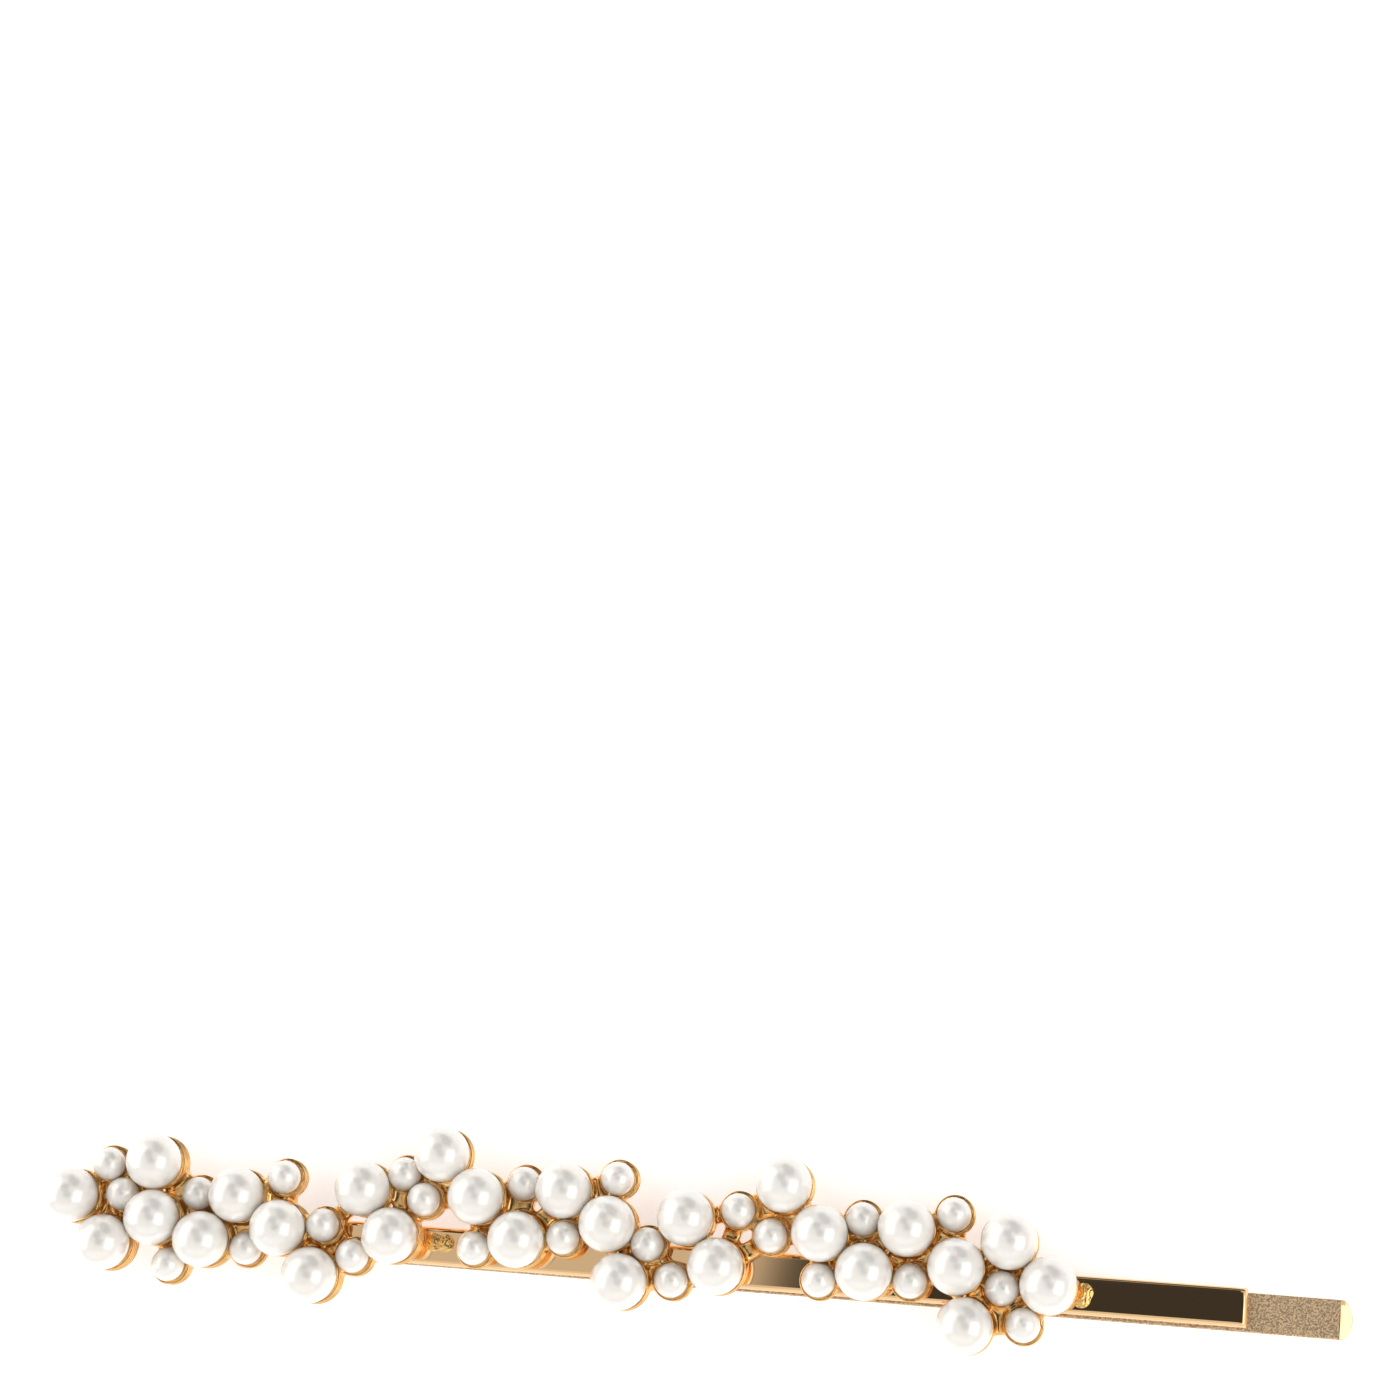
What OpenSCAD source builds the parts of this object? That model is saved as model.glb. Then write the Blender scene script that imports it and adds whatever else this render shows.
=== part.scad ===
// Pearl hair slide: a flat spring strip folded into two legs, with a cast
// openwork plate of pearl cups brazed along the upper leg.
// Millimetres. +X runs from the fold to the tail, +Z points away from the hair.
// The origin is on the underside of the lower leg, in the middle of its width,
// in line with the centre of the fold's bend.

/* [Spring pin] */
// Width of the spring strip
strip_w = 3.4; // [3:0.1:5]
// Thickness of the spring strip
strip_t = 1; // [0.7:0.1:1.4]
// Gap between the legs when the pin is shut
leg_gap = 0.2; // [0.1:0.05:0.6]
// Bare end of the upper leg, from the last pearl's centre to the tip
tip_len = 17; // [10:0.5:30]
// Length of the lower leg's tail past the upper leg's tip
tail_len = 9; // [5:0.5:20]
// How far the lower leg runs out of line with the upper leg, in degrees
leg_skew = 0.2; // [0:0.05:0.5]
// Width of the bevel along the legs' top edges
bevel_w = 0.45; // [0.1:0.05:0.6]
// Height of the same bevel
bevel_h = 0.3; // [0.1:0.05:0.5]
// Corner cut at the upper leg's tip
tip_cut = 0.7; // [0.3:0.1:1.2]
// Radius of the tail's rounded end
tail_r = 2.3; // [2:0.1:4]

/* [Pearls] */
// Diameter of a large pearl
large_d = 5; // [4:0.1:6.5]
// Diameter of a small pearl
small_d = 3; // [2.4:0.1:4]
// Length of the spray, from the first pearl's centre to the last one's
spray_len = 88.5; // [74:0.5:130]
// Least gap kept between two pearls
pearl_gap = 0.04; // [0.02:0.01:0.3]
// Height of a large pearl's lowest point above the upper leg
large_lift = 1.1; // [0.8:0.1:2]
// Height of a small pearl's lowest point above the upper leg
small_lift = 0.9; // [0.8:0.1:2]
// How much lower the pearls in low cups sit
low_drop = 0.5; // [0:0.05:0.5]

/* [Setting plate] */
// How far a large cup's wall stands out past its pearl (below 0 it is tucked in)
large_reach = -0.05; // [-0.3:0.05:0.3]
// How far a small cup's wall stands out past its pearl
small_reach = 0.25; // [0.1:0.05:0.4]
// How far a large cup's rim comes up its pearl
large_grip = 0.9; // [0.5:0.1:1.5]
// How far a small cup's rim comes up its pearl
small_grip = 0.7; // [0.4:0.1:1.1]
// Thickness of a cup's wall where its underside is hollow
cup_wall = 0.35; // [0.3:0.05:0.7]
// Thickness of a cup's floor under its pearl
cup_floor = 0.3; // [0.25:0.05:0.6]
// Thickness of the glue film between a pearl and its seat
glue_film = 0.03; // [0.02:0.01:0.08]
// Diameter of the pegs that the pearls are glued on
peg_d = 0.9; // [0.6:0.1:1.1]
// Width of the webs between the cups
web_w = 1.6; // [1:0.1:2]
// Height of the webs
web_h = 1.1; // [0.7:0.1:1.6]
// Depth of the relief under the plate over the fold
fold_relief = 0.3; // [0.2:0.05:0.5]

/* [Hidden] */
// Smoothness of the round parts
round_fn = 64;
hull_fn = 32;
// Overrun of a cut past the face it leaves
over = 1;
// Seam between the two halves of the fold, where the pin flexes
flex_seam = 0.02;

// Where each pearl sits on the layout: along the strip from the fold, across it,
// the pearl's kind, and how low its cup is. The layout is drawn for 5 and 3 mm
// pearls on a grid of half millimetres.
L = 1;
S = 0;
LOW = 1;
layout = [
    [-1.5, 2, L, 0], [1.5, 5, S, 0], [2, -2, L, 0], [3, 2.5, S, 0], [6, 5.5, L, 0],
    [6.5, 0.5, L, 0], [8, -3.5, S, 0], [10, 3, S, LOW], [11, -1, L, 0], [14, 3, L, LOW],
    [15, -1.5, S, LOW], [18, 5, S, 0], [18, 0.5, L, 0], [22, 1, S, 0], [21.5, -3.5, L, 0],
    [25, -1.5, S, 0], [25.5, 4.5, L, LOW], [28.5, 0.5, L, 0], [29, 6, S, LOW], [31, 4, S, 0],
    [32.5, 8, L, LOW], [36, 4.5, L, 0], [36, 0, S, 0], [40, 6, S, LOW], [40, 1, L, 0],
    [44, 5.5, L, LOW], [44, 1.5, S, 0], [48.5, 7, S, 0], [48, 3, L, 0], [49.5, -2, L, 0],
    [51.5, 1.5, S, 0], [54, -1.5, S, 0], [55, 4, L, 0], [58, 0, L, 0], [59.5, 5, S, 0],
    [62.5, 3, S, 0], [63.5, 7.5, L, 0], [67, 3.5, L, 0], [67, -0.5, S, 0], [71, 0.5, L, 0],
    [70.5, 5, S, 0], [74.5, 4.5, L, 0], [75, 0, S, 0], [78.5, 6, S, 0], [79, 1.5, L, 0],
    [80, -3.5, L, 0], [83.5, 4, L, 0], [83, 0, S, 0], [85, -3, S, 0], [87, 0.5, L, 0],
];
count = len(layout);
every = [for (i = [0:count - 1]) i];
first = 0;
last = count - 1;
layout_large = 5;
layout_small = 3;

// Levels: the upper leg's top face, the fold's middle, and each pearl's radius,
// bottom and centre.
deck = 2 * strip_t + leg_gap;
fold_z = deck / 2;
pearl_r = [for (p = layout) (p[2] == L ? large_d : small_d) / 2];
pearl_bottom = [for (p = layout) deck + (p[2] == L ? large_lift : small_lift) - p[3] * low_drop];
pearl_mid = [for (i = every) pearl_bottom[i] + pearl_r[i]];
cup_r = [for (i = every) pearl_r[i] + (layout[i][2] == L ? large_reach : small_reach)];
cup_top = [for (i = every) pearl_bottom[i] + (layout[i][2] == L ? large_grip : small_grip)];

// Places: the layout is stretched to the spray's length and the pearls' size,
// and then any pearls that are still too close push each other apart.
spread = max(large_d / layout_large, (large_d + small_d) / (layout_large + layout_small), 1);
stretch = spray_len / (layout[last][0] - layout[first][0]);
start = [for (p = layout) [layout[first][0] + (p[0] - layout[first][0]) * stretch, p[1]] * spread];
need = [for (i = every) [for (j = every)
    sqrt(pow(pearl_r[i] + pearl_r[j] + pearl_gap, 2) - pow(pearl_mid[i] - pearl_mid[j], 2))]];
settle_passes = 80;
function sum(v, i = 0, total = [0, 0]) = i == len(v) ? total : sum(v, i + 1, total + v[i]);
function pushed(at, i) = at[i] + sum([
    for (j = every)
        let (away = at[i] - at[j], d = norm(away))
        if (j != i && d < need[i][j]) away / d * (need[i][j] - d) / 2
]);
function settled(at, passes) = passes == 0 ? at : settled([for (i = every) pushed(at, i)], passes - 1);
spot = settled(start, settle_passes);

tip_x = spot[last][0] + tip_len;
tail_x = tip_x + tail_len;

// Webs join the cups that are neighbours on the layout, except the pairs left
// open, and fill the corners between three close cups. The gaps are between the
// cups' walls.
web_reach = 1.3;
corner_reach = 0.8;
open_pairs = [[43, 46]];
function wall_r(i) = layout[i][2] == L ? layout_large / 2 : layout_small / 2 + small_reach;
function wall_gap(i, j) =
    norm([layout[i][0] - layout[j][0], layout[i][1] - layout[j][1]]) - wall_r(i) - wall_r(j);
function left_open(i, j) = len([for (pair = open_pairs) if (pair == [i, j]) pair]) > 0;
webs = [for (i = every) for (j = every)
    if (i < j && wall_gap(i, j) < web_reach && !left_open(i, j)) [i, j]];
close = [for (w = webs) if (wall_gap(w[0], w[1]) < corner_reach) w];
corners = [for (w = close) for (k = every)
    if (k > w[1] && wall_gap(w[0], k) < corner_reach && wall_gap(w[1], k) < corner_reach)
        [w[0], w[1], k]];

// Solder lies on the bare strip in drops beside the walls of two cups. Each drop
// has its distance from the cup's wall, and its place across the strip.
solder_h = 0.22;
solder_r = 0.95;
middle_cup = 17;
middle_drops = [[0.85, 0.3], [1.9, 0.3]];
tip_drops = [[0.5, 0.25], [0.3, -0.3]];

function pearl_name(i) = str("pearl_", i < 9 ? "0" : "", i + 1);

// A strip's outline, pulled in by inset, with cut corners or a rounded end.
module tip_outline(inset) {
    w = strip_w / 2 - inset;
    end = tip_x - inset;
    polygon([[0, -w], [end - tip_cut, -w], [end, tip_cut - w],
        [end, w - tip_cut], [end - tip_cut, w], [0, w]]);
}

module tail_outline(inset) {
    intersection() {
        translate([0, inset - strip_w / 2])
            square([tail_x, strip_w - 2 * inset]);
        union() {
            translate([0, -strip_w])
                square([tail_x - tail_r, 2 * strip_w]);
            translate([tail_x - tail_r, 0])
                circle(r = tail_r - inset, $fn = 2 * hull_fn);
        }
    }
}

// One quarter of the fold's ring, below or above its middle.
module fold_quarter(upper) {
    rotate([90, 0, 0])
        linear_extrude(strip_w, center = true)
            translate([0, fold_z])
                intersection() {
                    difference() {
                        circle(d = deck, $fn = round_fn);
                        circle(d = leg_gap, $fn = round_fn);
                    }
                    translate([-deck, upper ? flex_seam : -deck])
                        square(deck);
                }
}

// The lower leg, its tail and the lower half of the fold.
module lower_leg() {
    color("burlywood")
        rotate([0, 0, -leg_skew]) {
            fold_quarter(false);
            hull() {
                linear_extrude(strip_t - bevel_h)
                    tail_outline(0);
                linear_extrude(strip_t)
                    tail_outline(bevel_w);
            }
        }
}

// The upper leg and the upper half of the fold, which turn about the fold's
// outermost line when the pin is opened.
module upper_leg() {
    color("goldenrod") {
        fold_quarter(true);
        translate([0, 0, deck - strip_t])
            hull() {
                linear_extrude(strip_t - bevel_h)
                    tip_outline(0);
                linear_extrude(strip_t)
                    tip_outline(bevel_w);
            }
    }
}

module web_outline() {
    for (w = webs) {
        step = spot[w[1]] - spot[w[0]];
        translate(spot[w[0]])
            rotate(atan2(step[1], step[0]))
                translate([0, -web_w / 2])
                    square([norm(step), web_w]);
    }
    for (c = corners)
        polygon([spot[c[0]], spot[c[1]], spot[c[2]]]);
}

module cup(i) {
    translate([spot[i][0], spot[i][1], deck])
        cylinder(r = cup_r[i], h = cup_top[i] - deck, $fn = round_fn);
}

// The seat that a pearl is glued in, and the hollow under it.
module cup_cuts(i) {
    hollow_h = pearl_bottom[i] - cup_floor - deck;
    translate([spot[i][0], spot[i][1], pearl_mid[i]])
        sphere(r = pearl_r[i] + glue_film, $fn = round_fn);
    if (hollow_h > 0)
        translate([spot[i][0], spot[i][1], deck - over])
            cylinder(r = cup_r[i] - cup_wall, h = hollow_h + over, $fn = round_fn);
}

// A peg stands from the cup's floor to the middle of its pearl.
module peg(i) {
    foot = pearl_bottom[i] - glue_film - cup_floor / 2;
    translate([spot[i][0], spot[i][1], foot])
        cylinder(d = peg_d, h = pearl_mid[i] - foot, $fn = round_fn);
}

module setting_plate() {
    color("darkgoldenrod") {
        difference() {
            union() {
                for (i = every)
                    cup(i);
                translate([0, 0, deck])
                    linear_extrude(web_h)
                        web_outline();
            }
            for (i = every)
                cup_cuts(i);
            translate([-deck, -strip_w, deck - over])
                cube([deck + strip_t, 2 * strip_w, fold_relief + over]);
        }
        for (i = every)
            peg(i);
    }
}

// A low drop of solder with its foot on the upper leg's top face.
module solder_drop(x, y, r) {
    ball_r = (r * r + solder_h * solder_h) / (2 * solder_h);
    translate([x, y, deck])
        intersection() {
            translate([0, 0, solder_h - ball_r])
                sphere(r = ball_r, $fn = 2 * round_fn);
            translate([-r, -r, 0])
                cube([2 * r, 2 * r, over]);
        }
}

// Drops beside a cup, cut to fit round its wall.
module solder_beside(i, drops) {
    color("gold")
        difference() {
            for (drop = drops)
                solder_drop(spot[i][0] + cup_r[i] + drop[0], drop[1], solder_r);
            translate([spot[i][0], spot[i][1], deck - over])
                cylinder(r = cup_r[i], h = 3 * over, $fn = round_fn);
        }
}

module solder_middle() {
    solder_beside(middle_cup, middle_drops);
}

module solder_tip() {
    solder_beside(last, tip_drops);
}

// Each pearl is half drilled and glued over its peg.
module pearl(i) {
    color("ivory")
        translate([spot[i][0], spot[i][1], pearl_mid[i]])
            difference() {
                sphere(r = pearl_r[i], $fn = round_fn);
                translate([0, 0, -pearl_r[i] - over])
                    cylinder(d = peg_d + 2 * glue_film, h = pearl_r[i] + over, $fn = round_fn);
            }
}

lower_leg();
upper_leg();
setting_plate();
solder_middle();
solder_tip();
for (i = every)
    pearl(i);
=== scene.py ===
"""Pearl hair slide: a folded spring strip, a cast openwork plate of cups, and
half-drilled pearls glued in them, on a white studio table."""

import math

import bmesh
import bpy
from mathutils import Matrix, Vector, noise


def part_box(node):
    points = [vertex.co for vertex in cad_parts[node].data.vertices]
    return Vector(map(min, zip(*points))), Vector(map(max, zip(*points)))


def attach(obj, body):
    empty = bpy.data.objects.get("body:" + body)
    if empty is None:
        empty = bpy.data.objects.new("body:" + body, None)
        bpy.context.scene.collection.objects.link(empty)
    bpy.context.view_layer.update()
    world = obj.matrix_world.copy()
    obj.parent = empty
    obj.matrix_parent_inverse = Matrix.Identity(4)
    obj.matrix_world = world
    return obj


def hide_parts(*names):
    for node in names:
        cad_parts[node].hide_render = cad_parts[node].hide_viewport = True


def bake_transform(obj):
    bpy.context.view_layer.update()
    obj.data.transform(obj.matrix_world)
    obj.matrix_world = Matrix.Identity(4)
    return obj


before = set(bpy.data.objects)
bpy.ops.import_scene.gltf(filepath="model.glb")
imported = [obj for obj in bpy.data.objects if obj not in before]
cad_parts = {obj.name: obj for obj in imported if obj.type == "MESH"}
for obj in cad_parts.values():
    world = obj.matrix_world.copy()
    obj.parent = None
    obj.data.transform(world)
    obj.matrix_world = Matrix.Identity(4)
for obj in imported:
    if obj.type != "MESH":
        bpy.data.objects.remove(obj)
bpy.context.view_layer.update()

bl_info = {
    "name": "Pearl Hair Slide",
    "version": (1, 0, 0),
    "blender": (4, 5, 0),
    "location": "View3D > Sidebar > Hair Slide",
    "description": "Builds a pearl hair slide piece by piece on its packed frame",
    "category": "Add Mesh",
}

MM = 0.001
UPPER = "upper_leg"
LOWER = "lower_leg"
PEARL_NODES = sorted(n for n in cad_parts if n.startswith("pearl_"))

# How finely each round thing is stepped.
FOLD_STEPS = 24
TAIL_CUTS = 23
OUTER_ROLL_STEPS = 4
INNER_ROLL_STEPS = 2
RIB_ARC_STEPS = 6
RIB_TURN_STEPS = 56
PEARL_ARC_STEPS = 34
PEARL_TURN_STEPS = 72

# Vertices nearer than this are one vertex.
WELD = 0.001 * MM


# ---------------------------------------------------------------- settings


def length(name, description, default_mm):
    """A size that is shown in the scene's units and stored in metres."""
    return bpy.props.FloatProperty(
        name=name,
        description=description,
        default=default_mm * MM,
        min=0.0,
        unit="LENGTH",
        precision=5,
    )


def colour(name, description, default_hex):
    """A colour that is stored in linear light."""
    return bpy.props.FloatVectorProperty(
        name=name,
        description=description,
        default=linear(default_hex),
        size=3,
        min=0.0,
        max=1.0,
        subtype="COLOR",
    )


def linear(hex_colour):
    """An sRGB hex colour, such as E8C98A, as linear red, green and blue."""
    out = []
    for i in (0, 2, 4):
        s = int(hex_colour[i : i + 2], 16) / 255
        out.append(s / 12.92 if s <= 0.04045 else ((s + 0.055) / 1.055) ** 2.4)
    return tuple(out)


class StripSettings(bpy.types.PropertyGroup):
    thickness: length("Thickness", "Thickness of the spring strip", 1.0)
    edge_round: length("Edge round", "Rolled edge along the strip's outer face", 0.42)
    inner_round: length("Inner round", "Rolled edge along the strip's inner face", 0.12)
    tip_cut: length("Tip cut", "Corner cut at the upper leg's tip", 0.7)
    tail_radius: length("Tail radius", "Radius of the tail's rounded end", 2.3)
    tail_roll: length("Tail roll", "Length of the tail's polished end, which turns down", 1.1)
    plate: colour("Gold plate", "Colour of the polished gold plate", "F4CC9A")
    sand: colour("Sanded plate", "Colour of the blasted inner face", "F0CFA6")


class PlateSettings(bpy.types.PropertyGroup):
    voxel: length("Casting detail", "Grid that the casting is rounded on", 0.21)
    lump: length("Lump height", "How far the cast surface wanders", 0.05)
    lump_width: length("Lump width", "Distance between lumps in the casting", 1.4)
    large_reach: length("Large cup wall", "How far a large cup's wall is inside its pearl", 0.05)
    small_reach: length("Small cup wall", "How far a small cup's wall is outside its pearl", 0.25)
    large_grip: length("Large cup rim", "Height of a large cup's rim up its pearl", 0.9)
    small_grip: length("Small cup rim", "Height of a small cup's rim up its pearl", 0.7)
    bead: length("Bead", "Thickness of the ribs round each cup", 0.13)
    rib_step: length("Rib step", "Distance between the ribs down a cup's wall", 0.48)
    gold: colour("Cast gold", "Colour of the cast gold plate", "F3C684")


class PearlSettings(bpy.types.PropertyGroup):
    drill: length("Drill hole", "Diameter of the hole that the peg goes in", 0.96)
    wobble: bpy.props.FloatProperty(
        name="Wobble",
        description="How far a pearl is from round, as a share of its radius",
        default=0.004,
        subtype="FACTOR",
    )
    nacre: colour("Nacre", "Body colour of the pearls", "FAF6F0")


class SolderSettings(bpy.types.PropertyGroup):
    grid: length("Grid", "Grid that the solder is cut on", 0.05)
    crumple: length("Crumple", "Height of the solder's folds", 0.07)
    fold: length("Fold", "Distance between the solder's folds", 0.34)
    gold: colour("Solder", "Colour of the bright solder", "F4C87E")


class StageSettings(bpy.types.PropertyGroup):
    table_size: length("Table", "Width of the white table", 1600.0)
    table: colour("Table colour", "Colour of the table", "E8E8E8")
    glow: bpy.props.FloatProperty(
        name="Glow",
        description="How strongly the light table glows from below",
        default=0.55,
        min=0.0,
    )


# ---------------------------------------------------------------- materials


def new_material(name, base_colour, **sockets):
    """A material with one Principled shader, and its sockets set by name."""
    material = bpy.data.materials.new(name)
    material.use_nodes = True
    shader = material.node_tree.nodes["Principled BSDF"]
    shader.inputs["Base Color"].default_value = (*base_colour, 1.0)
    for socket, value in sockets.items():
        shader.inputs[socket.replace("_", " ")].default_value = value
    return material, material.node_tree, shader


def add(tree, kind, settings=None, values=None, links=None):
    """Adds a node with its settings, its socket values and what feeds it."""
    node = tree.nodes.new(kind)
    for name, value in (settings or {}).items():
        setattr(node, name, value)
    for name, value in (values or {}).items():
        node.inputs[name].default_value = value
    for name, socket in (links or {}).items():
        tree.links.new(socket, node.inputs[name])
    return node


def per_metre(width_mm):
    """The scale at which a pattern repeats about once every width_mm."""
    return 1.0 / (width_mm * MM)


def polished_strip(strip):
    """Gold-plated spring steel, rolled and mirror polished on its outer face and
    bead blasted on its inner face. The polish gives a dark hard mirror with a
    bright rolled edge; the blasting gives a fine sparkling grain."""
    material, tree, shader = new_material(
        "polished_and_blasted_gold_plate", strip.plate, Metallic=1.0, Roughness=0.06
    )
    place = add(tree, "ShaderNodeTexCoord")
    axes = add(tree, "ShaderNodeSeparateXYZ", links={"Vector": place.outputs["Object"]})
    # The blasted face is all that lies between the legs, up to the tail's roll.
    inner_start, inner_end, inner_top = 0.60 * MM, 0.75 * MM, 1.15 * MM
    inner = add(
        tree,
        "ShaderNodeMapRange",
        {"interpolation_type": "SMOOTHSTEP"},
        {"From Min": inner_start, "From Max": inner_end},
        {"Value": axes.outputs["Z"]},
    )
    below = add(
        tree,
        "ShaderNodeMath",
        {"operation": "LESS_THAN"},
        {1: inner_top},
        {0: axes.outputs["Z"]},
    )
    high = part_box(LOWER)[1]
    roll = add(
        tree,
        "ShaderNodeMapRange",
        {"interpolation_type": "SMOOTHSTEP"},
        {
            "From Min": high.x - strip.tail_roll * 1.08,
            "From Max": high.x - strip.tail_roll,
            "To Min": 1.0,
            "To Max": 0.0,
        },
        {"Value": axes.outputs["X"]},
    )
    both = add(
        tree,
        "ShaderNodeMath",
        {"operation": "MULTIPLY"},
        links={0: inner.outputs["Result"], 1: below.outputs["Value"]},
    )
    blasted = add(
        tree,
        "ShaderNodeMath",
        {"operation": "MULTIPLY"},
        links={0: both.outputs["Value"], 1: roll.outputs["Result"]},
    )
    # Grit of 0.16 mm, which is about as fine as shows.
    grit = add(
        tree,
        "ShaderNodeTexNoise",
        values={"Scale": per_metre(0.16), "Detail": 2.0, "Roughness": 0.6},
        links={"Vector": place.outputs["Object"]},
    )
    speck = add(
        tree,
        "ShaderNodeMapRange",
        values={"From Min": 0.40, "From Max": 0.60},
        links={"Value": grit.outputs["Fac"]},
    )
    sand = add(
        tree,
        "ShaderNodeMix",
        {"data_type": "RGBA"},
        {
            "A": (*[c * 0.45 for c in strip.sand], 1.0),
            "B": (*strip.sand, 1.0),
        },
        {"Factor": speck.outputs["Result"]},
    )
    tint = add(
        tree,
        "ShaderNodeMix",
        {"data_type": "RGBA"},
        {"A": (*strip.plate, 1.0)},
        {"Factor": blasted.outputs["Value"], "B": sand.outputs["Result"]},
    )
    tree.links.new(tint.outputs["Result"], shader.inputs["Base Color"])
    rough = add(
        tree,
        "ShaderNodeMapRange",
        values={"To Min": 0.06, "To Max": 0.42},
        links={"Value": blasted.outputs["Value"]},
    )
    tree.links.new(rough.outputs["Result"], shader.inputs["Roughness"])
    bump = add(
        tree,
        "ShaderNodeBump",
        values={"Distance": 0.06 * MM},
        links={"Height": grit.outputs["Fac"], "Strength": blasted.outputs["Value"]},
    )
    tree.links.new(bump.outputs["Normal"], shader.inputs["Normal"])
    return material


def cast_gold(plate):
    """Gold-plated white metal, spin cast in a rubber mould. The plating is
    bright, over a skin that ripples a little and pits finely from the mould."""
    material, tree, shader = new_material(
        "cast_gold_plate", plate.gold, Metallic=1.0, Roughness=0.16
    )
    place = add(tree, "ShaderNodeTexCoord")
    ripple = add(
        tree,
        "ShaderNodeTexNoise",
        values={"Scale": per_metre(0.9), "Detail": 3.0, "Roughness": 0.55},
        links={"Vector": place.outputs["Object"]},
    )
    shade = add(
        tree,
        "ShaderNodeMix",
        {"data_type": "RGBA"},
        {
            "A": (*[c * f for c, f in zip(plate.gold, (0.92, 0.84, 0.72))], 1.0),
            "B": (*plate.gold, 1.0),
        },
        {"Factor": ripple.outputs["Fac"]},
    )
    tree.links.new(shade.outputs["Result"], shader.inputs["Base Color"])
    rough = add(
        tree,
        "ShaderNodeMapRange",
        values={"From Min": 0.3, "From Max": 0.7, "To Min": 0.10, "To Max": 0.26},
        links={"Value": ripple.outputs["Fac"]},
    )
    tree.links.new(rough.outputs["Result"], shader.inputs["Roughness"])
    bump = add(
        tree,
        "ShaderNodeBump",
        values={"Distance": 0.05 * MM, "Strength": 0.7},
        links={"Height": ripple.outputs["Fac"]},
    )
    tree.links.new(bump.outputs["Normal"], shader.inputs["Normal"])
    return material


def bright_solder(solder):
    """Yellow solder that set as it was dabbed on. It gives crumpled facets,
    each as bright as a mirror."""
    material, tree, shader = new_material(
        "set_gold_solder", solder.gold, Metallic=1.0, Roughness=0.22
    )
    place = add(tree, "ShaderNodeTexCoord")
    folds = add(
        tree,
        "ShaderNodeTexVoronoi",
        {"feature": "F1"},
        {"Scale": per_metre(0.3), "Randomness": 1.0},
        {"Vector": place.outputs["Object"]},
    )
    bump = add(
        tree,
        "ShaderNodeBump",
        values={"Distance": 0.08 * MM, "Strength": 0.6},
        links={"Height": folds.outputs["Distance"]},
    )
    tree.links.new(bump.outputs["Normal"], shader.inputs["Normal"])
    return material


def pearl_nacre(pearl):
    """Pearl nacre, grown in thin layers and buffed. Light goes a little way in,
    so the body glows, and a soft clear top layer gives blurred reflections."""
    material, tree, shader = new_material(
        "buffed_pearl_nacre",
        pearl.nacre,
        Metallic=0.22,
        Roughness=0.21,
        IOR=1.53,
        Coat_Weight=0.7,
        Coat_Roughness=0.09,
        Coat_IOR=1.55,
        Subsurface_Weight=0.5,
        Subsurface_Scale=1.2 * MM,
        Subsurface_Radius=(1.0, 0.85, 0.7),
    )
    place = add(tree, "ShaderNodeTexCoord")
    cloud = add(
        tree,
        "ShaderNodeTexNoise",
        values={"Scale": per_metre(2.2), "Detail": 2.0},
        links={"Vector": place.outputs["Object"]},
    )
    body = add(
        tree,
        "ShaderNodeMix",
        {"data_type": "RGBA"},
        {
            "A": (*[c * f for c, f in zip(pearl.nacre, (0.99, 0.955, 0.935))], 1.0),
            "B": (*pearl.nacre, 1.0),
        },
        {"Factor": cloud.outputs["Fac"]},
    )
    tree.links.new(body.outputs["Result"], shader.inputs["Base Color"])
    skin = add(
        tree,
        "ShaderNodeTexNoise",
        values={"Scale": per_metre(0.8), "Detail": 2.0},
        links={"Vector": place.outputs["Object"]},
    )
    bump = add(
        tree,
        "ShaderNodeBump",
        values={"Distance": 0.02 * MM, "Strength": 0.35},
        links={"Height": skin.outputs["Fac"]},
    )
    tree.links.new(bump.outputs["Normal"], shader.inputs["Normal"])
    return material


def table_white(stage):
    """Matt white laminate on a light table, which glows until it is as white as
    paper and has almost no shadows."""
    material, tree, shader = new_material(
        "matt_white_laminate",
        stage.table,
        Roughness=0.9,
        Emission_Color=(1.0, 1.0, 1.0, 1.0),
        Emission_Strength=stage.glow,
    )
    place = add(tree, "ShaderNodeTexCoord")
    fleck = add(
        tree,
        "ShaderNodeTexNoise",
        values={"Scale": per_metre(4.0), "Detail": 1.0},
        links={"Vector": place.outputs["Object"]},
    )
    rough = add(
        tree,
        "ShaderNodeMapRange",
        values={"To Min": 0.85, "To Max": 0.95},
        links={"Value": fleck.outputs["Fac"]},
    )
    tree.links.new(rough.outputs["Result"], shader.inputs["Roughness"])
    return material


# ---------------------------------------------------------------- mesh tools


def piece_from(mesh, name, material, body, smooth_angle=None):
    """Makes a mesh a named piece that rides on a body, at the origin."""
    data = bpy.data.meshes.new(name)
    mesh.to_mesh(data)
    mesh.free()
    for polygon in data.polygons:
        polygon.use_smooth = True
    if smooth_angle is not None:
        data.set_sharp_from_angle(angle=smooth_angle)
    data.materials.append(material)
    piece = bpy.data.objects.new(name, data)
    bpy.context.scene.collection.objects.link(piece)
    if body:
        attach(piece, body)
    return piece


def apply_modifiers(piece):
    """Replaces a piece's mesh by what its modifiers make of it."""
    bpy.context.view_layer.update()
    graph = bpy.context.evaluated_depsgraph_get()
    made = bpy.data.meshes.new_from_object(piece.evaluated_get(graph))
    old = piece.data
    piece.modifiers.clear()
    piece.data = made
    bpy.data.meshes.remove(old)


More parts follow.
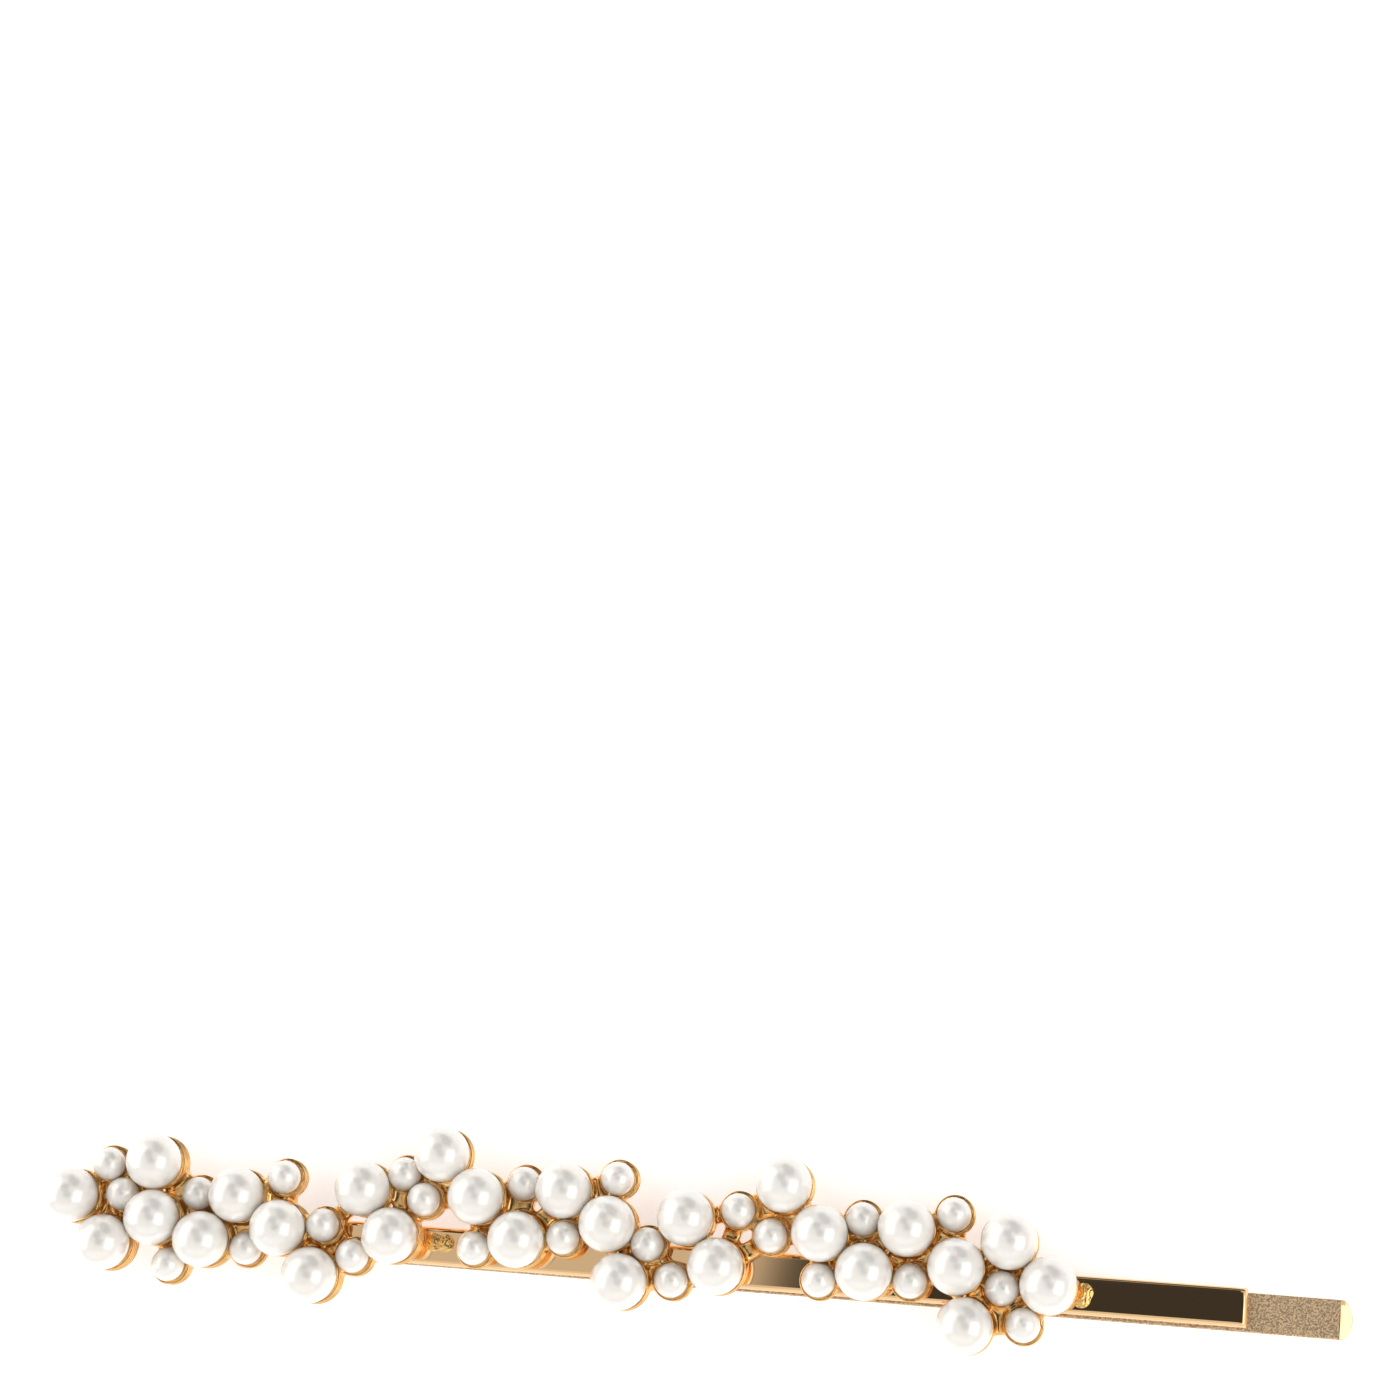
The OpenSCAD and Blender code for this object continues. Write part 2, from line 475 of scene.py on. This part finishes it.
def run_together(piece, grid, softening):
    """Remeshes a piece on a fine grid and softens its edges. It is done at a
    thousand times the size, because the grid can't be finer than that in metres."""
    piece.data.transform(Matrix.Scale(1 / MM, 4))
    remesh = piece.modifiers.new("run_together", "REMESH")
    remesh.mode = "VOXEL"
    remesh.voxel_size = grid / MM
    remesh.use_smooth_shade = True
    soften = piece.modifiers.new("soften", "SMOOTH")
    soften.factor = 0.5
    soften.iterations = softening
    apply_modifiers(piece)
    piece.data.transform(Matrix.Scale(MM, 4))


def turned(profile, steps):
    """Mesh data for a profile of (radius, height) points spun a full turn about
    the upright axis, with its poles closed."""
    mesh = bmesh.new()
    points = [mesh.verts.new((r, 0, z)) for r, z in profile]
    edges = [mesh.edges.new(pair) for pair in zip(points, points[1:])]
    bmesh.ops.spin(
        mesh,
        geom=points + edges,
        cent=(0, 0, 0),
        axis=(0, 0, 1),
        angle=2 * math.pi,
        steps=steps,
        use_merge=True,
    )
    bmesh.ops.remove_doubles(mesh, verts=mesh.verts, dist=0.002 * MM)
    bmesh.ops.recalc_face_normals(mesh, faces=mesh.faces)
    data = bpy.data.meshes.new("turned")
    mesh.to_mesh(data)
    mesh.free()
    return data


def put(mesh, data, place):
    """Adds a copy of mesh data to a mesh, moved to its place."""
    copy = data.copy()
    copy.transform(Matrix.Translation(place))
    mesh.from_mesh(copy)
    bpy.data.meshes.remove(copy)


# A pearl with a radius above this is a large one.
LARGE_RADIUS = 2.0 * MM


class Pearl:
    """Where one pearl is, read from its node."""

    def __init__(self, node):
        low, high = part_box(node)
        self.node = node
        self.radius = (high.x - low.x) / 2
        self.centre = Vector(((low.x + high.x) / 2, (low.y + high.y) / 2, high.z - self.radius))
        self.large = self.radius > LARGE_RADIUS
        self.bottom = self.centre.z - self.radius


def pearls():
    return [Pearl(node) for node in PEARL_NODES]


# ---------------------------------------------------------------- pieces


# The width of a crease's border, how steeply the tail's end turns down, and the
# area above which a face is one of the strip's broad ones.
CREASE = 0.04 * MM
TAIL_SLOPE = 0.27
BROAD_AREA = 4 * MM * MM
# How near a vertex must be to a plane to lie on it, and edges this sharp are rolled.
NEAR = 0.01 * MM
NEAR_FOLD = 0.03 * MM
ROLLED_ANGLE = math.radians(60)


def folded_strip(settings):
    """The strip as one bmesh, its legs joined round the fold."""
    t = settings.thickness
    lower_low, lower_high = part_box(LOWER)
    upper_low, upper_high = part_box(UPPER)
    half = (upper_high.y - upper_low.y) / 2
    deck = upper_high.z
    tip_x, tail_x = upper_high.x, lower_high.x
    curve = settings.tail_radius - math.sqrt(settings.tail_radius**2 - half**2)
    skew = (lower_low.y + half) / (tail_x - curve)
    mesh = bmesh.new()

    # The section at the fold's lower end, spun up round the fold.
    corners = ((-half, 0), (half, 0), (half, t), (-half, t))
    section = [mesh.verts.new((0, y, z)) for y, z in corners]
    ring = [mesh.edges.new((section[i], section[(i + 1) % 4])) for i in range(4)]
    spun = bmesh.ops.spin(
        mesh,
        geom=section + ring,
        cent=(0, 0, deck / 2),
        axis=(0, 1, 0),
        angle=math.pi,
        steps=FOLD_STEPS,
    )
    upper = [e for e in spun["geom_last"] if isinstance(e, bmesh.types.BMEdge)]

    # The upper leg is drawn out to the tip, whose corners are cut last.
    grown = bmesh.ops.extrude_edge_only(mesh, edges=upper)
    front = [v for v in grown["geom"] if isinstance(v, bmesh.types.BMVert)]
    bmesh.ops.translate(mesh, verts=front, vec=(tip_x, 0, 0))
    tip = mesh.faces.new(sorted(front, key=lambda v: math.atan2(v.co.z - deck + t / 2, v.co.y)))
    upright = [e for e in tip.edges if abs(e.verts[0].co.z - e.verts[1].co.z) > t / 2]

    # The lower leg is drawn out to the tail, which is sliced and rounded.
    grown = bmesh.ops.extrude_edge_only(mesh, edges=ring)
    front = [v for v in grown["geom"] if isinstance(v, bmesh.types.BMVert)]
    bmesh.ops.translate(mesh, verts=front, vec=(tail_x - curve, 0, 0))
    tail = mesh.faces.new(sorted(front, key=lambda v: math.atan2(v.co.z - t / 2, v.co.y)))
    bmesh.ops.bevel(
        mesh,
        geom=upright,
        offset=settings.tip_cut,
        offset_type="OFFSET",
        segments=1,
        profile=0.5,
        affect="EDGES",
        material=-1,
    )
    level = [e for e in tail.edges if abs(e.verts[0].co.y - e.verts[1].co.y) > half]
    bmesh.ops.subdivide_edges(mesh, edges=level, cuts=TAIL_CUTS, use_grid_fill=True)
    for v in mesh.verts:
        if v.co.x > tail_x - 2 * curve and v.co.z < t + NEAR:
            arc = math.sqrt(settings.tail_radius**2 - min(v.co.y**2, half**2))
            v.co.x = tail_x - settings.tail_radius + arc
    # The tail's end turns down, past a crease held by a slice on each side.
    crease = tail_x - settings.tail_roll
    for x in (crease - CREASE / 2, crease + CREASE / 2):
        bmesh.ops.bisect_plane(
            mesh,
            geom=mesh.verts[:] + mesh.edges[:] + mesh.faces[:],
            plane_co=(x, 0, 0),
            plane_no=(1, 0, 0),
        )
    for v in mesh.verts:
        if v.co.x > crease and v.co.z > t / 2:
            v.co.z -= (v.co.x - crease) * TAIL_SLOPE
    bmesh.ops.recalc_face_normals(mesh, faces=mesh.faces)

    # The rolled edges: wide round the outer face, narrow round the inner one.
    def sharp_edges(outer):
        picked = []
        for e in mesh.edges:
            if len(e.link_faces) != 2 or e.calc_face_angle() < ROLLED_ANGLE:
                continue
            on_outer = all(
                v.co.z > deck - NEAR
                or v.co.z < NEAR
                or math.hypot(v.co.x, v.co.z - deck / 2) > deck / 2 - NEAR_FOLD
                and v.co.x < 0
                for v in e.verts
            )
            if on_outer == outer:
                picked.append(e)
        return picked

    for outer, offset, segments in (
        (True, settings.edge_round, OUTER_ROLL_STEPS),
        (False, settings.inner_round, INNER_ROLL_STEPS),
    ):
        bmesh.ops.bevel(
            mesh,
            geom=sharp_edges(outer),
            offset=offset,
            offset_type="OFFSET",
            segments=segments,
            profile=0.5,
            affect="EDGES",
            material=-1,
            clamp_overlap=True,
        )
    # The broad faces keep a narrow border, so they mirror flat up to their rolls.
    broad = [f for f in mesh.faces if f.calc_area() > BROAD_AREA]
    bmesh.ops.inset_individual(mesh, faces=broad, thickness=CREASE)
    # The lower leg turns out of line with the upper one.
    for v in mesh.verts:
        if v.co.z < deck / 2 and v.co.x > 0:
            v.co.y += skew * v.co.x
    bmesh.ops.recalc_face_normals(mesh, faces=mesh.faces)
    return mesh


def solid_of(node):
    """A node's solid as a bmesh, to be run together, softened and lumped."""
    mesh = bmesh.new()
    mesh.from_mesh(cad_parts[node].data)
    bmesh.ops.remove_doubles(mesh, verts=mesh.verts, dist=WELD)
    return mesh


def push_surface(data, distance):
    """Moves each vertex along its normal by distance(place, normal)."""
    normals = [v.normal.copy() for v in data.vertices]
    for v, normal in zip(data.vertices, normals):
        v.co += normal * distance(v.co, normal)


def rib_profile(wall, bead):
    """Half a round bead that stands out of a cup's wall."""
    proud, sunk = 0.72 * bead, 0.55 * bead
    points = []
    for k in range(RIB_ARC_STEPS + 1):
        a = math.pi * (k / RIB_ARC_STEPS - 0.5)
        points.append((wall + proud * math.cos(a) - sunk, bead / 2 * math.sin(a)))
    return points


def cup_ribs(settings):
    """The rim bead of each cup, and the ribs below it down the wall."""
    mesh = bmesh.new()
    ribs = {}
    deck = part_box(UPPER)[1].z
    for pearl in pearls():
        reach = -settings.large_reach if pearl.large else settings.small_reach
        grip = settings.large_grip if pearl.large else settings.small_grip
        if pearl.large not in ribs:
            profile = rib_profile(pearl.radius + reach, settings.bead)
            ribs[pearl.large] = turned(profile, RIB_TURN_STEPS)
        height = pearl.bottom + grip - settings.bead / 2
        while height > deck + settings.bead:
            put(mesh, ribs[pearl.large], (pearl.centre.x, pearl.centre.y, height))
            height -= settings.rib_step
    return mesh


def pearl_profile(radius, drill):
    """A pearl from its top pole down to the mouth of its drill hole, and up the
    hole to the hole's end."""
    mouth = math.asin(drill / radius)
    points = []
    for k in range(PEARL_ARC_STEPS + 1):
        a = k / PEARL_ARC_STEPS * (math.pi - mouth)
        points.append((radius * math.sin(a), radius * math.cos(a)))
    points[0] = (0.0, radius)
    points += [(drill, -radius / 2), (drill, 0.0), (0.0, 0.0)]
    return points


# A pearl's skin is all that lies outside this share of its radius, and its dips
# are about this far apart.
SKIN = 0.9
DIP_WIDTH = 2.6 * MM


def build_pearl(pearl, data, settings):
    """One pearl: a spun and drilled ball, a very little out of round."""
    mesh = bmesh.new()
    put(mesh, data, pearl.centre)
    for v in mesh.verts:
        out = v.co - pearl.centre
        if out.length > SKIN * pearl.radius:
            dip = noise.noise(v.co / DIP_WIDTH) - 1.0
            v.co = pearl.centre + out * (1 + 0.5 * settings.wobble * dip)
    return mesh


# ---------------------------------------------------------------- operators


# The strip's faces run smooth below this angle.
SMOOTH_ANGLE = math.radians(28)


class SLIDE_OT_strip(bpy.types.Operator):
    """Folds the spring strip"""

    bl_idname = "hair_slide.strip"
    bl_label = "Spring Strip"

    def execute(self, context):
        settings = context.scene.slide_strip
        piece = piece_from(
            folded_strip(settings),
            "spring_strip",
            polished_strip(settings),
            None,
            SMOOTH_ANGLE,
        )
        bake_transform(piece)
        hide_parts(LOWER, UPPER)
        return {"FINISHED"}


class SLIDE_OT_plate(bpy.types.Operator):
    """Casts the plate of cups"""

    bl_idname = "hair_slide.plate"
    bl_label = "Cast Plate"

    def execute(self, context):
        settings = context.scene.slide_plate
        metal = cast_gold(settings)
        plate = piece_from(solid_of("setting_plate"), "cast_plate", metal, None)
        run_together(plate, settings.voxel, 2)
        push_surface(
            plate.data,
            lambda place, normal: settings.lump * (noise.noise(place / settings.lump_width) - 0.5),
        )
        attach(plate, UPPER)
        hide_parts("setting_plate")
        piece_from(cup_ribs(settings), "cup_ribs", metal, UPPER)
        return {"FINISHED"}


class SLIDE_OT_pearls(bpy.types.Operator):
    """Turns and drills the pearls"""

    bl_idname = "hair_slide.pearls"
    bl_label = "Pearls"

    def execute(self, context):
        settings = context.scene.slide_pearl
        nacre = pearl_nacre(settings)
        balls = {}
        for pearl in pearls():
            if pearl.large not in balls:
                profile = pearl_profile(pearl.radius, settings.drill / 2)
                balls[pearl.large] = turned(profile, PEARL_TURN_STEPS)
            name = pearl.node.replace("pearl", "nacre_pearl")
            mesh = build_pearl(pearl, balls[pearl.large], settings)
            piece = piece_from(mesh, name, nacre, UPPER)
            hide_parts(pearl.node)
        return {"FINISHED"}


class SLIDE_OT_solder(bpy.types.Operator):
    """Dabs on the solder"""

    bl_idname = "hair_slide.solder"
    bl_label = "Solder"

    def execute(self, context):
        settings = context.scene.slide_solder
        metal = bright_solder(settings)
        for node in ("solder_middle", "solder_tip"):
            name = node.replace("solder", "dab")
            piece = piece_from(solid_of(node), name, metal, None)
            run_together(piece, settings.grid, 1)
            push_surface(
                piece.data,
                lambda place, normal: max(0.0, normal.z)
                * settings.crumple
                * (abs(noise.noise(place / settings.fold)) - 0.5),
            )
            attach(piece, UPPER)
            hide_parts(node)
        return {"FINISHED"}


# The studio's air is white all round, with a dim ceiling that runs down behind
# the slide. Each dim patch is (towards x, y, z, cosine at its edge, cosine inside,
# how dim from 0 to 1).
AIR = 0.80
DIM = 0.05
DIM_PATCHES = (
    (0.13, -0.02, 1.00, 0.9634, 0.9668, 1.0),
    (-0.28, 0.03, 0.95, 0.950, 0.985, 0.18),
    (-0.10, 0.45, 0.88, 0.945, 0.970, 1.0),
    (0.36, 0.78, 0.50, 0.925, 0.955, 0.95),
    (0.10, 0.95, 0.28, 0.960, 0.980, 0.85),
)
# Each soft box is (name, towards x, y, z, width, height, radiance), in metres.
BOX_DISTANCE = 0.9
SOFT_BOXES = (
    ("right_box", 0.76, -0.10, 0.66, 0.80, 0.62, 1.25),
    ("left_box", -0.86, 0.25, 0.45, 1.50, 0.80, 0.92),
    ("front_box", 0.00, -0.85, 0.50, 1.50, 0.50, 0.30),
)


# The table lies a hair below the strip, so the two faces don't share a plane.
TABLE_CLEAR = 0.02 * MM


class SLIDE_OT_stage(bpy.types.Operator):
    """Sets the table, the soft boxes and the camera"""

    bl_idname = "hair_slide.stage"
    bl_label = "Stage"

    def execute(self, context):
        stage = context.scene.slide_stage
        mesh = bmesh.new()
        bmesh.ops.create_grid(mesh, x_segments=8, y_segments=8, size=stage.table_size / 2)
        data = bpy.data.meshes.new("table")
        mesh.to_mesh(data)
        mesh.free()
        data.materials.append(table_white(stage))
        table = bpy.data.objects.new("table", data)
        table.location.z = -TABLE_CLEAR
        context.scene.collection.objects.link(table)
        add_lights(context.scene)
        add_camera(context.scene)
        return {"FINISHED"}


def studio_air():
    """The light that comes from all round, as a world."""
    world = bpy.data.worlds.new("studio_air")
    world.use_nodes = True
    tree = world.node_tree
    place = add(tree, "ShaderNodeTexCoord")
    ceiling = None
    for x, y, z, edge, inside, depth in DIM_PATCHES:
        near = add(
            tree,
            "ShaderNodeVectorMath",
            {"operation": "DOT_PRODUCT"},
            {1: Vector((x, y, z)).normalized()},
            {0: place.outputs["Generated"]},
        )
        patch = add(
            tree,
            "ShaderNodeMapRange",
            {"interpolation_type": "SMOOTHSTEP"},
            {"From Min": edge, "From Max": inside, "To Max": depth},
            {"Value": near.outputs["Value"]},
        ).outputs["Result"]
        if ceiling is None:
            ceiling = patch
        else:
            both = {0: ceiling, 1: patch}
            ceiling = add(tree, "ShaderNodeMath", {"operation": "MAXIMUM"}, None, both).outputs[0]
    level = add(
        tree,
        "ShaderNodeMapRange",
        None,
        {"To Min": AIR, "To Max": DIM},
        {"Value": ceiling},
    )
    tree.links.new(level.outputs["Result"], tree.nodes["Background"].inputs["Strength"])
    tree.nodes["Background"].inputs["Color"].default_value = (1, 1, 1, 1)
    return world


def add_lights(scene):
    scene.world = studio_air()
    middle = Vector((52, 0, 4)) * MM
    for name, x, y, z, width, height, radiance in SOFT_BOXES:
        light = bpy.data.lights.new(name, "AREA")
        light.shape = "RECTANGLE"
        light.size = width
        light.size_y = height
        light.energy = radiance * math.pi * width * height
        lamp = bpy.data.objects.new(name, light)
        out = Vector((x, y, z)).normalized()
        lamp.location = middle + out * BOX_DISTANCE
        lamp.rotation_euler = out.to_track_quat("Z", "Y").to_euler()
        lamp.visible_camera = False
        scene.collection.objects.link(lamp)
    scene.view_settings.view_transform = "Standard"
    scene.view_settings.look = "None"
    scene.view_settings.exposure = 0.0


# The camera: an 80 mm lens from above the tip, turned a little about its axis.
CAMERA_AT = Vector((98.65, -8.21, 279.44)) * MM
CAMERA_AIM = Vector((52.40, 50.81, 4.60)) * MM
CAMERA_LENS = 80.0
CAMERA_ROLL = -34.44


def add_camera(scene):
    data = bpy.data.cameras.new("studio_camera")
    data.lens = CAMERA_LENS
    data.sensor_width = 36.0
    data.dof.use_dof = False
    data.clip_start = 0.01
    data.clip_end = 20.0
    camera = bpy.data.objects.new("studio_camera", data)
    back = (CAMERA_AT - CAMERA_AIM).normalized()
    right = Vector((0, 0, 1)).cross(back).normalized()
    level = Matrix((right, back.cross(right), back)).transposed()
    turn = level @ Matrix.Rotation(math.radians(CAMERA_ROLL), 3, "Z")
    camera.matrix_world = Matrix.Translation(CAMERA_AT) @ turn.to_4x4()
    scene.collection.objects.link(camera)
    scene.camera = camera


class SLIDE_PT_panel(bpy.types.Panel):
    """Lists the slide's settings and the buttons that build it"""

    bl_label = "Pearl Hair Slide"
    bl_idname = "SLIDE_PT_panel"
    bl_space_type = "VIEW_3D"
    bl_region_type = "UI"
    bl_category = "Hair Slide"

    def draw(self, context):
        for step in STEPS:
            self.layout.operator(step.bl_idname)
        for name in SETTINGS:
            group = getattr(context.scene, name)
            box = self.layout.box()
            for setting in SETTINGS[name].__annotations__:
                box.prop(group, setting)


SETTINGS = {
    "slide_strip": StripSettings,
    "slide_plate": PlateSettings,
    "slide_pearl": PearlSettings,
    "slide_solder": SolderSettings,
    "slide_stage": StageSettings,
}
STEPS = (SLIDE_OT_stage, SLIDE_OT_strip, SLIDE_OT_plate, SLIDE_OT_pearls, SLIDE_OT_solder)


def register():
    for group in SETTINGS.values():
        bpy.utils.register_class(group)
    for step in (*STEPS, SLIDE_PT_panel):
        bpy.utils.register_class(step)
    for name, group in SETTINGS.items():
        setattr(bpy.types.Scene, name, bpy.props.PointerProperty(type=group))


def unregister():
    for name in SETTINGS:
        delattr(bpy.types.Scene, name)
    for step in (SLIDE_PT_panel, *reversed(STEPS)):
        bpy.utils.unregister_class(step)
    for group in SETTINGS.values():
        bpy.utils.unregister_class(group)


def main():
    register()
    bpy.ops.hair_slide.stage()
    bpy.ops.hair_slide.strip()
    bpy.ops.hair_slide.plate()
    bpy.ops.hair_slide.pearls()
    bpy.ops.hair_slide.solder()


if __name__ == "__main__":
    main()
